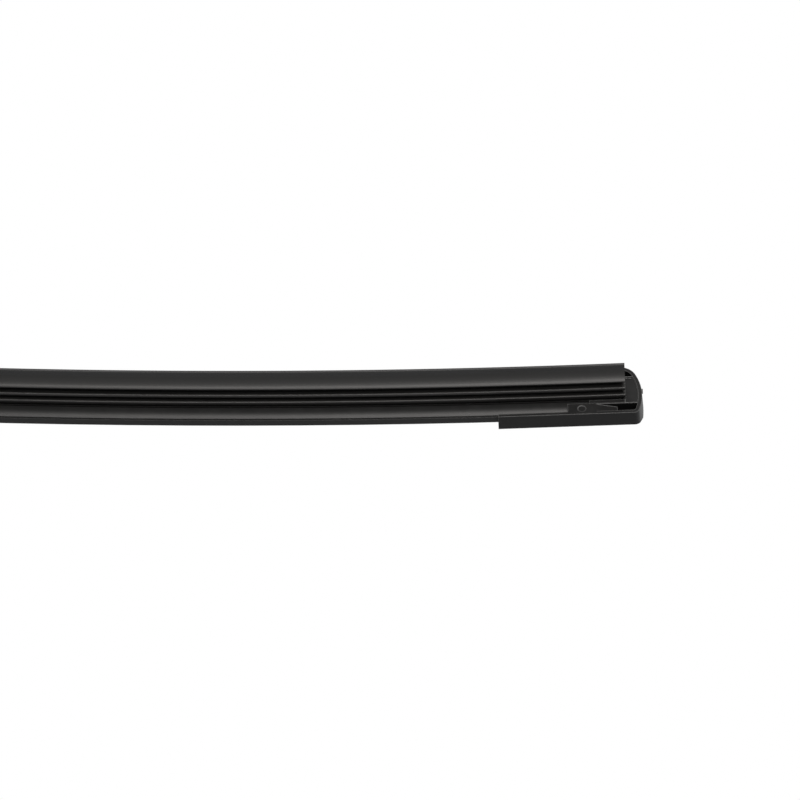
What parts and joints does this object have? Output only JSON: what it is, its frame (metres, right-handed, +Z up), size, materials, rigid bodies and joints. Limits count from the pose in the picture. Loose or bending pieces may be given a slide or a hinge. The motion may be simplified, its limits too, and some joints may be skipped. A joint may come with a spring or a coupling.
{
  "type": "wiper blade",
  "caption": "Flat-beam windscreen wiper blade: bowed rubber lip on spring rails under a finned spoiler, with end caps and a rocking hook adaptor.",
  "frame": {"origin": "on the pivot pin's axis, in the middle of the blade and of the hook channel, where the wiper arm's hook turns round the hub", "axes": "+X along the blade, +Y across it towards the spoiler's windward face, +Z up from the wiping lip to the adaptor"},
  "size_m": [0.5024, 0.0198, 0.0514],
  "materials": {
    "wiping_rubber": "semi-matt black extruded rubber",
    "rails": "black-coated spring steel",
    "spoiler": "soft black extrusion with a satin skin",
    "end_caps": "fine-grained black moulding",
    "bracket": "black-coated sheet steel",
    "cover": "fine-grained black moulding",
    "pin": "plain steel rivet",
    "adaptor": "smooth black moulding"
  },
  "bodies": {
    "adaptor": {"hook_adaptor": "adaptor"},
    "blade": {"wiping_rubber": "wiping_rubber", "rail_front": "rails", "rail_rear": "rails", "spoiler_left": "spoiler", "spoiler_right": "spoiler", "end_cap_left": "end_caps", "end_cap_right": "end_caps", "rail_bracket": "bracket", "connector_cover": "cover", "pivot_pin": "pin"}
  },
  "joints": [
    {"name": "blade_rock", "type": "hinge", "parent": "adaptor", "child": "blade", "pos_m": [0, 0, 0], "axis": [0, 1, 0], "range_deg": [-15, 15]}
  ]
}
